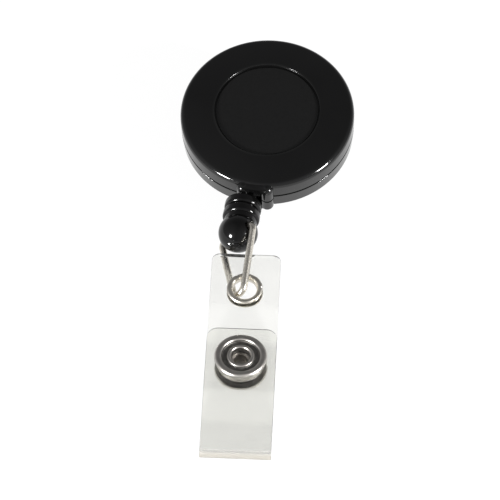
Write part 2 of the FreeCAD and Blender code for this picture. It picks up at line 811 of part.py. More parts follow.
def make_snap_ring():
    """Front ring: raised rim, a groove, and a rolled tube that goes down through the flap."""
    top = upper_strap_middle + strip_half
    plate = ring(snap_hole_radius, snap_radius, top, top + snap_web_thickness, 0.1)
    rim = ring(snap_groove_outer, snap_radius, top, top + snap_ring_height, snap_rim_radius)
    roll = ring(snap_hole_radius, snap_groove_inner, top, top + snap_ring_height - snap_roll_step,
                snap_roll_radius)
    tube = ring(snap_hole_radius, snap_hole_radius + snap_tube_wall, top - strap_thickness - 0.1, top + 0.2)
    return plate.fuse([rim, roll, tube]).removeSplitter()


# ---- assembly ----
def build_all():
    parts["front_cover"] = in_case(make_front_cover())
    parts["back_cover"] = in_case(make_back_cover())
    parts["spool"] = in_case(make_spool())
    parts["spool_lid"] = in_case(make_spool_lid())
    parts["mainspring"] = in_case(make_mainspring())
    parts["cord_winding"] = in_case(make_cord_winding())
    parts["cord_drum_knot"] = in_case(make_drum_knot())
    parts["cord_feed"] = make_cord_feed()
    parts["cord_end"] = make_cord_end()
    parts["cord_end_knot"] = make_fitting_knot()
    parts["clip_plate"] = in_case(make_clip_plate())
    parts["clip_tongue"] = make_clip_tongue()
    parts["clip_rivet"] = in_case(make_clip_rivet())
    parts["rivet_washer"] = in_case(make_rivet_washer())
    parts["end_fitting"] = make_end_fitting()
    parts["end_plug"] = make_end_plug()
    parts["wire_bail"] = make_wire_bail()
    parts["strap_back"] = on_strap(make_strap_back())
    parts["strap_flap"] = on_strap(make_strap_flap())
    parts["eyelet"] = on_strap(make_eyelet())
    parts["snap_post"] = on_strap(make_snap_post())
    parts["snap_stud"] = on_strap(make_snap_stud())
    parts["snap_socket"] = on_strap(make_snap_socket())
    parts["snap_spring"] = on_strap(make_snap_spring())
    parts["snap_ring"] = on_strap(make_snap_ring())


def middle_offset():
    """Move that puts the origin under the middle of the whole reel's box."""
    box = Part.makeCompound(list(parts.values())).optimalBoundingBox(False)
    return V(-(box.XMin + box.XMax) / 2, -(box.YMin + box.YMax) / 2, 0)


build_all()
offset = middle_offset()
os.makedirs("parts", exist_ok=True)
for name, shape in parts.items():
    shape.translate(offset)
    shape.exportStep("parts/" + name + ".step")
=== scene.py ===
import json
from math import atan2, cos, pi, radians, sin, sqrt, tan

import bmesh
import bpy
from mathutils import Matrix, Vector, noise


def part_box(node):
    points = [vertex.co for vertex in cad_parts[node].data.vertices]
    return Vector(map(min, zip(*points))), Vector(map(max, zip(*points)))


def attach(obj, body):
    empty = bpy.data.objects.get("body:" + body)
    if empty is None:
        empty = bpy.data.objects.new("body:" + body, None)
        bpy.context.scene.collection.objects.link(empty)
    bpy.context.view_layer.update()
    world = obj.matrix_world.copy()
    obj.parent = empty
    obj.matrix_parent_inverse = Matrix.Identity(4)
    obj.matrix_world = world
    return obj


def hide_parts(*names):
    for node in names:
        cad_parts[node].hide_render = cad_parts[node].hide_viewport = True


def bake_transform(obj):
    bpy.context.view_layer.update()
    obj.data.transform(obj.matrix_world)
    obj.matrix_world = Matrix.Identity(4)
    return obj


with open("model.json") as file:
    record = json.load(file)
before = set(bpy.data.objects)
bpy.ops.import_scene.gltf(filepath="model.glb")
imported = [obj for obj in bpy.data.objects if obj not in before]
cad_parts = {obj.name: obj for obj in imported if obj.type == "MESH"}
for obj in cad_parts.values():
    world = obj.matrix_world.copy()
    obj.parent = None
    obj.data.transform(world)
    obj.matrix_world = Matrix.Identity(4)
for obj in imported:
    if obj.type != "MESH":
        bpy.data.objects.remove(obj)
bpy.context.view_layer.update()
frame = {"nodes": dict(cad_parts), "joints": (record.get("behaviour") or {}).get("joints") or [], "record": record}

bl_info = {
    "name": "Badge reel looks",
    "version": (1, 0, 0),
    "blender": (4, 5, 0),
    "location": "View3D > Sidebar > Badge Reel",
    "description": "Vinyl strap, plated hardware, cord and finishes of a retractable badge reel",
    "category": "Object",
}

MM = 0.001
FLOOR_GLOW = 0.89
# edges that turn by more degrees than this are drawn sharp
SHARP_PIECE = 35.0
SHARP_TURNED = 40.0
SHARP_COVER = 30.0
SHARP_VINYL = 50.0
SHARP_NODE = 28.0
JOINTS = {joint["name"]: joint for joint in frame["joints"]}


# ---------------------------------------------------------------- places taken from the frame
def middle_of(node):
    low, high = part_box(node)
    return (low + high) / 2


def joint_point(name):
    return Vector(JOINTS[name]["pos_m"])


def joint_axis(name):
    return Vector(JOINTS[name]["axis"]).normalized()


def standing_at(origin, up, across):
    """Matrix whose Z is up and whose X is as near to across as it can be."""
    z = up.normalized()
    x = (across - z * across.dot(z)).normalized()
    y = z.cross(x)
    turned = Matrix((x, y, z)).transposed().to_4x4()
    return Matrix.Translation(origin) @ turned


STRAP_ACROSS = joint_axis("flap_open")
STRAP_ALONG = Vector((0, 0, 1)).cross(STRAP_ACROSS).normalized()     # from the fold towards the case
SNAP_FOOT = Vector((middle_of("snap_ring").x, middle_of("snap_ring").y, 0))
STRAP_PLACE = standing_at(SNAP_FOOT, Vector((0, 0, 1)), STRAP_ACROSS)
EYELET_PLACE = standing_at(middle_of("eyelet"), joint_axis("strap_swing"), STRAP_ACROSS)
CASE_PLACE = standing_at(joint_point("spool_spin"), joint_axis("spool_spin"), Vector((1, 0, 0)))
CORD_LINE = joint_point("cord_pull")


# ---------------------------------------------------------------- sizes and colours
def size(name, text, default):
    return bpy.props.FloatProperty(name=name, description=text, default=default, unit="LENGTH", precision=5)


def number(name, text, default):
    return bpy.props.FloatProperty(name=name, description=text, default=default)


def colour(name, text, hex_code):
    return bpy.props.FloatVectorProperty(name=name, description=text, default=from_hex(hex_code),
                                         subtype="COLOR", size=3, min=0.0, max=1.0)


def from_hex(code):
    """sRGB hex to linear red, green and blue."""
    channels = [int(code[i:i + 2], 16) / 255 for i in (1, 3, 5)]
    return tuple(c / 12.92 if c <= 0.04045 else ((c + 0.055) / 1.055) ** 2.4 for c in channels)


class StrapSizes(bpy.types.PropertyGroup):
    width: size("Width", "Width of the vinyl strap", 12.5 * MM)
    thickness: size("Thickness", "Thickness of the vinyl", 0.45 * MM)
    top_length: size("Top length", "Snap to the strap's free end, by the bail", 22.5 * MM)
    flap_length: size("Flap length", "Snap to the flap's free end", 6.5 * MM)
    top_corner: size("Top corner", "Corner radius at the bail's end", 1.4 * MM)
    flap_corner: size("Flap corner", "Corner radius of the flap", 2.0 * MM)
    fold_radius: size("Fold radius", "Radius of the fold, at the middle of the vinyl", 0.6 * MM)
    crest: size("Crest", "Snap to where the rise towards the bail eases", 11.0 * MM)
    flat_half: size("Flat half", "Flat length on each side of the snap", 6.3 * MM)
    ripple: size("Ripple", "Height of the vinyl's slow waves", 0.05 * MM)


class CoverSizes(bpy.types.PropertyGroup):
    radius: size("Radius", "Outer radius of the case", 16.0 * MM)
    wall: size("Wall", "Wall of the covers", 1.2 * MM)
    seam: size("Seam", "Height of the front cover's lower edge", 3.7 * MM)
    lip_foot: size("Lip foot", "Height of the locating lip's lower end", 2.55 * MM)
    lip: size("Lip", "Thickness of the locating lip", 0.6 * MM)
    edge_height: size("Edge height", "Height of the face at the case's outer edge", 7.097 * MM)
    edge_radius: size("Edge radius", "Rounding of the outer edge", 1.0 * MM)
    crown: size("Crown", "Radius of the domed face", 90.0 * MM)
    recess: size("Recess", "Radius of the label recess", 9.7 * MM)
    recess_depth: size("Recess depth", "Depth of the label recess", 0.55 * MM)
    groove: size("Groove", "Width and depth of the groove at the recess's foot", 0.18 * MM)
    socket: size("Socket", "Radius of the arbor's socket", 2.28 * MM)
    socket_depth: size("Socket depth", "Depth of the arbor's socket", 0.5 * MM)
    exit_width: size("Exit width", "Width of the cord's exit", 1.95 * MM)
    exit_floor: size("Exit floor", "Height of the exit's lower edge", 1.8 * MM)
    exit_top: size("Exit top", "Height of the exit's upper edge", 4.9 * MM)
    post_radius: size("Post radius", "Radius of the guide posts", 1.2 * MM)
    post_reach: size("Post reach", "Case axis to the posts' axes", 15.9 * MM)
    post_top: size("Post top", "Height of the posts' rounded tops", 7.0 * MM)
    draft: size("Draft", "How much the moulding tapers at the recess", 0.12 * MM)


class SnapSizes(bpy.types.PropertyGroup):
    radius: size("Radius", "Outer radius of the snap's rings", 4.7 * MM)
    rim_inner: size("Rim inner", "Inner edge of the raised rim", 3.4 * MM)
    roll_outer: size("Roll outer", "Outer edge of the rolled tube end", 2.45 * MM)
    hole: size("Hole", "Radius of the tube's hole", 1.75 * MM)
    rim_height: size("Rim height", "Height of the raised rim above the flap", 0.85 * MM)


class EyeletSizes(bpy.types.PropertyGroup):
    inner: size("Inner", "Inner radius of the eyelet", 2.15 * MM)
    outer: size("Outer", "Outer radius of its rolled rim", 3.25 * MM)
    wall: size("Wall", "Wall of the eyelet's barrel", 0.3 * MM)
    foot_height: size("Foot height", "Thickness of its rim under the vinyl", 0.32 * MM)
    roll_height: size("Roll height", "Height of its rolled rim above the vinyl", 0.5 * MM)
    crack_depth: size("Crack depth", "How far the set edge is split", 0.3 * MM)


class CordSizes(bpy.types.PropertyGroup):
    diameter: size("Diameter", "Diameter of the braided cord", 0.9 * MM)


class Finishes(bpy.types.PropertyGroup):
    black_plastic: colour("Black plastic", "Moulded ABS of the case", "#080808")
    black_nylon: colour("Black nylon", "Moulded cord-end fitting", "#060606")
    acetal: colour("Acetal", "Natural acetal of the spool", "#E2E0D6")
    blued_steel: colour("Blued steel", "Mainspring strip", "#5A6170")
    cord: colour("Cord", "Braided nylon cord", "#17171A")
    nickel: colour("Nickel", "Bright nickel plate", "#E2DDD2")
    dark_nickel: colour("Dark nickel", "Dark nickel plate of the snap", "#C9C5BF")
    vinyl: colour("Vinyl", "Clear flexible vinyl", "#FEFEFB")
    crease: colour("Crease", "Stress-whitened vinyl at the fold", "#A6A29A")
    floor: colour("Floor", "White sweep under the reel", "#FFFFFF")


class StageSizes(bpy.types.PropertyGroup):
    camera_azimuth: bpy.props.FloatProperty(name="Camera azimuth", description="Camera's turn about Z",
                                            default=radians(8.4), subtype="ANGLE")
    camera_elevation: bpy.props.FloatProperty(name="Camera elevation", description="Camera's height angle",
                                              default=radians(51.5), subtype="ANGLE")
    camera_distance: size("Camera distance", "Distance from the aim point", 639.5 * MM)
    lens: number("Lens", "Focal length in millimetres on a 36 mm sensor", 252.7)
    floor_half: size("Floor half width", "Half the width of the floor", 0.6)


SETTINGS = (("badge_cover", CoverSizes), ("badge_strap", StrapSizes), ("badge_snap", SnapSizes),
            ("badge_eyelet", EyeletSizes), ("badge_cord", CordSizes), ("badge_finish", Finishes),
            ("badge_stage", StageSizes))


# ---------------------------------------------------------------- material helpers
def add_node(tree, kind, settings=None, links=None):
    """Adds a node with its settings (attributes or input values) and its links {input: output socket}."""
    node = tree.nodes.new(kind)
    for key, value in (settings or {}).items():
        if isinstance(key, int) or key in node.inputs:
            node.inputs[key].default_value = value
        else:
            setattr(node, key, value)
    for key, socket in (links or {}).items():
        tree.links.new(socket, node.inputs[key])
    return node


def start_material(name, **shader_values):
    """A material, its node tree, its shader, and the place on the piece in metres."""
    material = bpy.data.materials.new(name)
    material.use_nodes = True
    tree = material.node_tree
    shader = tree.nodes["Principled BSDF"]
    for key, value in shader_values.items():
        shader.inputs[key.replace("_", " ")].default_value = value
    return material, tree, shader, add_node(tree, "ShaderNodeTexCoord").outputs["Object"]


def rgba(values, factor=1.0):
    return (values[0] * factor, values[1] * factor, values[2] * factor, 1.0)


def scaled(tree, socket, factors):
    return add_node(tree, "ShaderNodeVectorMath", {"operation": "MULTIPLY", 1: factors},
                    {0: socket}).outputs["Vector"]


def noise_at(tree, place, scale, detail=2.0, roughness=0.5):
    return add_node(tree, "ShaderNodeTexNoise", {"Scale": scale, "Detail": detail, "Roughness": roughness},
                    {"Vector": place}).outputs["Fac"]


def spread(tree, socket, low, high, from_low=0.3, from_high=0.7):
    return add_node(tree, "ShaderNodeMapRange", {"From Min": from_low, "From Max": from_high,
                                                 "To Min": low, "To Max": high},
                    {"Value": socket}).outputs["Result"]


def tinted(tree, socket, first, second):
    return add_node(tree, "ShaderNodeMix", {"data_type": "RGBA", 6: first, 7: second},
                    {0: socket}).outputs[2]


def marked(tree, socket, clean, mark):
    """A colour that comes from a socket, turned to another where the factor rises."""
    return add_node(tree, "ShaderNodeMix", {"data_type": "RGBA", 7: mark},
                    {0: socket, 6: clean}).outputs[2]


def calculated(tree, operation, sockets, values=None):
    """A sum on sockets and values, both given by input number."""
    return add_node(tree, "ShaderNodeMath", {"operation": operation, **(values or {})},
                    sockets).outputs["Value"]


def mottled(tree, shader, socket, tone, darker, lighter):
    """Base colour that goes between two strengths of one tone."""
    tree.links.new(tinted(tree, socket, rgba(tone, darker), rgba(tone, lighter)),
                   shader.inputs["Base Color"])


def roughened(tree, shader, socket, *levels):
    tree.links.new(spread(tree, socket, *levels), shader.inputs["Roughness"])


def bumped(tree, shader, height, distance, strength):
    node = add_node(tree, "ShaderNodeBump", {"Strength": strength, "Distance": distance},
                    {"Height": height})
    tree.links.new(node.outputs["Normal"], shader.inputs["Normal"])


def hairlines(tree, place, along, across, scale):
    """Fine scratches: a noise drawn out along one direction."""
    return noise_at(tree, scaled(tree, place, (across, along, across)), scale, 3.0, 0.6)


# ---------------------------------------------------------------- materials
def moulded_gloss_abs():
    """Injection-moulded black ABS with a polished tool: deep black, mirror-like with a faint orange peel
    and fine handling scuffs that only show in the highlights."""
    look = bpy.context.scene.badge_finish
    material, tree, shader, place = start_material("moulded_gloss_abs", IOR=1.54, Specular_IOR_Level=0.42)
    cloud = noise_at(tree, place, 1 / (6 * MM), 3.0)
    mottled(tree, shader, cloud, look.black_plastic, 0.85, 1.2)
    scuffs = hairlines(tree, place, 1 / (9 * MM), 1 / (0.25 * MM), 1.0)
    roughened(tree, shader, scuffs, 0.075, 0.17, 0.45, 0.8)
    bumped(tree, shader, noise_at(tree, place, 1 / (1.6 * MM), 1.0), 0.0015 * MM, 0.6)
    return material


def spark_eroded_abs():
    """The same ABS from a spark-eroded patch of the tool: an even, fine satin grain of about 0.15 mm."""
    look = bpy.context.scene.badge_finish
    material, tree, shader, place = start_material("spark_eroded_abs", IOR=1.54, Specular_IOR_Level=0.34)
    grain = noise_at(tree, place, 1 / (0.16 * MM), 2.0, 0.7)
    mottled(tree, shader, grain, look.black_plastic, 0.9, 1.35)
    roughened(tree, shader, grain, 0.28, 0.44)
    bumped(tree, shader, grain, 0.012 * MM, 0.5)
    return material


def moulded_nylon():
    """Injection-moulded black nylon: glossy, with slow flow marks from the gate."""
    look = bpy.context.scene.badge_finish
    material, tree, shader, place = start_material("moulded_nylon", IOR=1.53, Specular_IOR_Level=0.26)
    flow = noise_at(tree, scaled(tree, place, (1 / (1.2 * MM), 1 / (4 * MM), 1 / (1.2 * MM))), 1.0, 2.0)
    mottled(tree, shader, flow, look.black_nylon, 0.85, 1.3)
    roughened(tree, shader, flow, 0.09, 0.16)
    bumped(tree, shader, flow, 0.004 * MM, 0.5)
    return material


def natural_acetal():
    """Moulded natural acetal: milky white, waxy, slightly translucent."""
    look = bpy.context.scene.badge_finish
    material, tree, shader, place = start_material("natural_acetal", IOR=1.48, Subsurface_Weight=0.15,
                                                   Subsurface_Scale=0.001)
    cloud = noise_at(tree, place, 1 / (3 * MM), 3.0)
    mottled(tree, shader, cloud, look.acetal, 0.94, 1.0)
    roughened(tree, shader, cloud, 0.32, 0.42)
    bumped(tree, shader, noise_at(tree, place, 1 / (0.3 * MM)), 0.004 * MM, 0.4)
    return material


def blued_spring_steel():
    """Rolled and blued spring strip: grey-blue metal with rolling lines along its length."""
    look = bpy.context.scene.badge_finish
    material, tree, shader, place = start_material("blued_spring_steel", Metallic=1.0)
    lines = noise_at(tree, scaled(tree, place, (120.0, 120.0, 9000.0)), 1.0, 2.0)
    mottled(tree, shader, lines, look.blued_steel, 0.75, 1.15)
    roughened(tree, shader, lines, 0.24, 0.42)
    bumped(tree, shader, lines, 0.003 * MM, 0.5)
    return material


def braided_nylon():
    """Braided nylon cord: two sets of strands that cross at about 0.35 mm, with a soft sheen."""
    look = bpy.context.scene.badge_finish
    material, tree, shader, place = start_material("braided_nylon", Roughness=0.62, Sheen_Weight=0.3)
    pitch = 1 / (0.35 * MM)
    strands = {"Scale": pitch / (2 * pi) * 6, "wave_type": "BANDS", "bands_direction": "DIAGONAL",
               "Distortion": 0.6}
    one = add_node(tree, "ShaderNodeTexWave", strands, {"Vector": place}).outputs["Fac"]
    mirrored = scaled(tree, place, (-1.0, 1.0, 1.0))
    two = add_node(tree, "ShaderNodeTexWave", strands, {"Vector": mirrored}).outputs["Fac"]
    weave = calculated(tree, "MAXIMUM", {0: one, 1: two})
    mottled(tree, shader, weave, look.cord, 0.5, 1.6)
    bumped(tree, shader, weave, 0.05 * MM, 0.8)
    return material


def plated_strip_steel():
    """Nickel-plated rolled spring strip of the belt clip: bright, faint rolling lines, rubbed spots."""
    look = bpy.context.scene.badge_finish
    material, tree, shader, place = start_material("plated_strip_steel", Metallic=1.0)
    lines = hairlines(tree, place, 1 / (14 * MM), 1 / (0.2 * MM), 1.0)
    worn = noise_at(tree, place, 1 / (4 * MM), 4.0, 0.65)
    mottled(tree, shader, worn, look.nickel, 0.78, 1.05)
    roughened(tree, shader, lines, 0.16, 0.34)
    bumped(tree, shader, lines, 0.004 * MM, 0.5)
    return material


def drawn_nickel_wire():
    """Nickel-plated drawn wire: bright with die lines along it and small dull marks."""
    look = bpy.context.scene.badge_finish
    material, tree, shader, place = start_material("drawn_nickel_wire", Metallic=1.0)
    lines = hairlines(tree, place, 1 / (6 * MM), 1 / (0.12 * MM), 1.0)
    dull = noise_at(tree, place, 1 / (1.5 * MM), 4.0, 0.7)
    mottled(tree, shader, dull, look.nickel, 0.8, 1.0)
    roughened(tree, shader, lines, 0.2, 0.34)
    bumped(tree, shader, lines, 0.004 * MM, 0.5)
    return material


def set_nickel_eyelet():
    """Thin nickel-plated brass, rolled over by the setting tool: clouded and slightly dull."""
    look = bpy.context.scene.badge_finish
    material, tree, shader, place = start_material("set_nickel_eyelet", Metallic=1.0)
    marks = noise_at(tree, place, 1 / (0.9 * MM), 4.0, 0.6)
    mottled(tree, shader, marks, look.nickel, 0.72, 0.98)
    roughened(tree, shader, marks, 0.3, 0.44)
    bumped(tree, shader, marks, 0.012 * MM, 0.4)
    return material


def dark_nickel_plate():
    """Stamped brass with dark nickel plate: smoky and soft in its reflections, with a fine grain."""
    look = bpy.context.scene.badge_finish
    material, tree, shader, place = start_material("dark_nickel_plate", Metallic=1.0)
    cloud = noise_at(tree, place, 1 / (1.8 * MM), 4.0, 0.65)
    fine = noise_at(tree, place, 1 / (0.12 * MM), 2.0)
    mottled(tree, shader, cloud, look.dark_nickel, 0.7, 1.0)
    roughened(tree, shader, cloud, 0.26, 0.38)
    bumped(tree, shader, fine, 0.004 * MM, 0.4)
    return material


def painted_shade_plate():
    """The same dark nickel, brought down to a painted shade for the snap's groove and the lower inside of its
    hole: brown-grey, dull, with dust in it.
    """
    look = bpy.context.scene.badge_finish
    material, tree, shader, place = start_material("painted_shade_plate", Metallic=1.0)
    dust = noise_at(tree, place, 1 / (0.6 * MM), 4.0, 0.65)
    # painted shade: the nickel tone held at 12 to 42 per cent of its strength
    mottled(tree, shader, dust, look.dark_nickel, 0.12, 0.42)
    roughened(tree, shader, dust, 0.3, 0.55)
    bumped(tree, shader, dust, 0.01 * MM, 0.5)
    return material


def clear_calendered_vinyl():
    """Calendered clear flexible PVC: a faint grey-green cast, slow waves, fine scuffs and small marks, and
    stress-whitened along its fold."""
    look = bpy.context.scene.badge_finish
    material, tree, shader, place = start_material("clear_calendered_vinyl", IOR=1.53,
                                                   Transmission_Weight=1.0)
    haze = noise_at(tree, place, 1 / (5 * MM), 4.0, 0.6)
    clean = tinted(tree, haze, rgba(look.vinyl, 0.98), rgba(look.vinyl))
    scuffs = hairlines(tree, place, 1 / (5 * MM), 1 / (0.15 * MM), 1.0)
    marks = noise_at(tree, scaled(tree, place, (1 / (2.2 * MM), 1 / (0.5 * MM), 1 / MM)), 1.0, 3.0, 0.6)
    along = add_node(tree, "ShaderNodeVectorMath", {"operation": "DOT_PRODUCT", 1: STRAP_ALONG},
                     {0: place}).outputs["Value"]
    fold = joint_point("flap_open").dot(STRAP_ALONG)
    clear = spread(tree, along, 0.45, 1.0, fold + 0.2 * MM, fold + 1.3 * MM)
    tree.links.new(clear, shader.inputs["Transmission Weight"])
    scratched = marked(tree, spread(tree, marks, 0.0, 1.0, 0.66, 0.74), clean, rgba(look.vinyl, 0.86))
    tree.links.new(marked(tree, spread(tree, clear, 1.0, 0.0, 0.45, 1.0), scratched, rgba(look.crease)),
                   shader.inputs["Base Color"])
    gloss = spread(tree, scuffs, 0.06, 0.3, 0.5, 0.85)
    dull = spread(tree, clear, 0.6, 0.0, 0.35, 1.0)
    tree.links.new(calculated(tree, "MAXIMUM", {0: gloss, 1: dull}), shader.inputs["Roughness"])
    waves = noise_at(tree, place, 1 / (2.5 * MM), 2.0)
    bumped(tree, shader, waves, 0.02 * MM, 0.5)
    return material


def white_sweep():
    """Matte white paper sweep, lit from within so that its tone stays level: fine tooth of 0.5 mm."""
    look = bpy.context.scene.badge_finish
    material, tree, shader, place = start_material("white_sweep", Roughness=0.9, Specular_IOR_Level=0.2,
                                                   Emission_Strength=FLOOR_GLOW)
    shader.inputs["Emission Color"].default_value = rgba(look.floor)
    tooth = noise_at(tree, place, 1 / (0.5 * MM), 2.0)
    mottled(tree, shader, tooth, look.floor, 0.10, 0.12)
    bumped(tree, shader, tooth, 0.01 * MM, 0.3)
    return material


MATERIALS = {"glossy_black_abs": moulded_gloss_abs, "glossy_black_nylon": moulded_nylon,
             "natural_acetal": natural_acetal, "blued_spring_steel": blued_spring_steel,
             "black_nylon_cord": braided_nylon, "plated_clip_steel": plated_strip_steel,
             "nickel_wire": drawn_nickel_wire, "nickel_eyelet": set_nickel_eyelet,
             "dark_nickel_snap": dark_nickel_plate, "clear_vinyl": clear_calendered_vinyl}
made_materials = {}


def finish_for(slot):
    if slot not in made_materials:
        made_materials[slot] = MATERIALS[slot]()
    return made_materials[slot]


# ---------------------------------------------------------------- mesh helpers
def new_piece(name, points, faces, slot, sharp_angle=SHARP_PIECE):
    mesh = bpy.data.meshes.new(name)
    mesh.from_pydata([tuple(p) for p in points], [], faces)
    mesh.update()
    return dress(bpy.data.objects.new(name, mesh), slot, sharp_angle)


def dress(piece, slot, sharp_angle=SHARP_PIECE):
    """Links a piece, shades it smooth up to an angle, and gives it a finish and a slot."""
    if piece.name not in bpy.context.scene.collection.objects:
        bpy.context.scene.collection.objects.link(piece)
    shade(piece, sharp_angle)
    piece.data.materials.clear()
    piece.data.materials.append(finish_for(slot))
    return piece


def shade(piece, sharp_angle):
    piece.data.polygons.foreach_set("use_smooth", [True] * len(piece.data.polygons))
    piece.data.set_sharp_from_angle(angle=radians(sharp_angle))


def rounded(corners, steps=6):
    """Closed or open outline of (a, b, radius) corners as points, each corner an arc of that radius."""
    out = []
    count = len(corners)
    for i, (a, b, radius) in enumerate(corners):
        here = Vector((a, b))
        if radius <= 0:
            out.append(here)
            continue
        back = (Vector(corners[i - 1][:2]) - here).normalized()
        ahead = (Vector(corners[(i + 1) % count][:2]) - here).normalized()
        half = back.angle(ahead) / 2
        centre = here + (back + ahead).normalized() * (radius / sin(half))
        start = here + back * (radius / tan(half)) - centre
        end = here + ahead * (radius / tan(half)) - centre
        turn = start.angle_signed(end)
        for k in range(steps + 1):
            out.append(centre + Matrix.Rotation(-turn * k / steps, 2) @ start)
    return out


def turned_piece(name, outline, place, slot, steps=128, warp=None):
    """Closed outline of (radius, height) turned about Z. warp moves a point by its angle."""
    points = []
    for k in range(steps):
        angle = 2 * pi * k / steps
        for radius, height in outline:
            r, z = (radius, height) if warp is None else warp(radius, height, angle)
            points.append(place @ Vector((r * cos(angle), r * sin(angle), z)))
    ring = len(outline)
    faces = []
    for k in range(steps):
        a, b = k * ring, ((k + 1) % steps) * ring
        for i in range(ring):
            j = (i + 1) % ring
            faces.append((a + i, b + i, b + j, a + j))
    piece = new_piece(name, points, faces, slot, SHARP_TURNED)
    fix_normals(piece)
    return piece


def fix_normals(piece):
    mesh = bmesh.new()
    mesh.from_mesh(piece.data)
    bmesh.ops.recalc_face_normals(mesh, faces=mesh.faces)
    mesh.to_mesh(piece.data)
    mesh.free()
    shade(piece, SHARP_TURNED)


# ---------------------------------------------------------------- the strap's side view
class StrapPath:
    """Middle line of the strap from its free end, past the snap, round the fold to the flap's end.
    Its points are (y, z) in the strap's own frame, at s metres along the strip as it is cut."""

    def __init__(self, sizes):
        half = sizes.thickness / 2
        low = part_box("snap_stud")[0].z - half
        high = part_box("snap_socket")[1].z + half
        fold_out = STRAP_PLACE.inverted() @ joint_point("flap_open")
        centre_y = fold_out.y + sizes.fold_radius + half
        floor = fold_out.z - sizes.fold_radius
        eyelet = STRAP_PLACE.inverted() @ joint_point("strap_swing")
        normal = STRAP_PLACE.inverted().to_3x3() @ joint_axis("strap_swing")
        slope = -normal.y / normal.z
        crest_z = eyelet.z + (sizes.crest - eyelet.y) * slope
        end_z = eyelet.z + (sizes.top_length - eyelet.y) * slope
        bend = 12 * MM
        back = [(sizes.top_length, end_z, 0), (sizes.crest, crest_z, 6 * MM), (sizes.flat_half, low, bend),
                (-sizes.flat_half, low, bend), (-sizes.flat_half - 6 * MM, floor, bend),
                (centre_y, floor, 0)]
        top = floor + 2 * sizes.fold_radius
        flap = [(centre_y, top, 0), (centre_y + 2.5 * MM, top, bend), (-sizes.flat_half, high, bend),
                (sizes.flap_length, high, 0)]
        steps = 24
        fold = [Vector((centre_y - sizes.fold_radius * sin(pi * k / steps),
                        floor + sizes.fold_radius * (1 - cos(pi * k / steps)))) for k in range(1, steps)]
        points = rounded(back, 10) + fold + rounded(flap, 10)
        self.points = points
        self.marks = [0.0]
        for a, b in zip(points, points[1:]):
            self.marks.append(self.marks[-1] + (b - a).length)
        self.length = self.marks[-1]

    def point_at(self, s):
        s = min(max(s, 0.0), self.length)
        for i in range(len(self.marks) - 1):
            if s <= self.marks[i + 1]:
                break
        t = (s - self.marks[i]) / (self.marks[i + 1] - self.marks[i])
        return self.points[i].lerp(self.points[i + 1], t)

    def direction_at(self, s, reach=0.12 * MM):
        """Unit direction of travel, averaged over a short reach so that the bends shade smoothly."""
        return (self.point_at(s + reach) - self.point_at(s - reach)).normalized()

    def where(self, y, on_flap=False):
        """Length along the cut strip at which the middle line passes y."""
        order = range(len(self.points) - 1)
        for i in (reversed(order) if on_flap else order):
            a, b = self.points[i].x, self.points[i + 1].x
            if min(a, b) <= y <= max(a, b) and abs(a - b) > 1e-9:
                return self.marks[i] + (y - a) / (b - a) * (self.marks[i + 1] - self.marks[i])
        raise ValueError("the strap doesn't pass there")


def cut_strip(sizes, length, holes):
    """The flat strip as it is cut: rounded outline with round holes (place along it, radius), as a closed
    thin solid."""
    curve = bpy.data.curves.new("strip_cut", "CURVE")
    curve.dimensions = "2D"
    curve.fill_mode = "BOTH"
    half = sizes.width / 2
    outline = rounded([(-half, 0, sizes.top_corner), (half, 0, sizes.top_corner),
                       (half, length, sizes.flap_corner), (-half, length, sizes.flap_corner)], 8)
    loops = [outline]
    for s, radius in holes:
        loops.append([Vector((radius * cos(2 * pi * k / 48), s + radius * sin(2 * pi * k / 48)))
                      for k in range(48)])
    for loop in loops:
        spline = curve.splines.new("POLY")
        spline.points.add(len(loop) - 1)
        for point, place in zip(spline.points, loop):
            point.co = (place.x, place.y, 0, 1)
        spline.use_cyclic_u = True
    edge = 0.09 * MM
    curve.offset = -edge
    curve.extrude = sizes.thickness / 2 - edge
    curve.bevel_depth = edge
    curve.bevel_resolution = 2
    holder = bpy.data.objects.new("strip_cut", curve)
    bpy.context.scene.collection.objects.link(holder)
    bpy.context.view_layer.update()
    mesh = bpy.data.meshes.new_from_object(holder.evaluated_get(bpy.context.evaluated_depsgraph_get()))
    bpy.data.objects.remove(holder)
    bpy.data.curves.remove(curve)
    return mesh


def slice_mesh(work, normal, places):
    for place in places:
        bmesh.ops.bisect_plane(work, geom=work.verts[:] + work.edges[:] + work.faces[:],
                               plane_co=Vector(normal) * place, plane_no=Vector(normal), dist=1e-7)


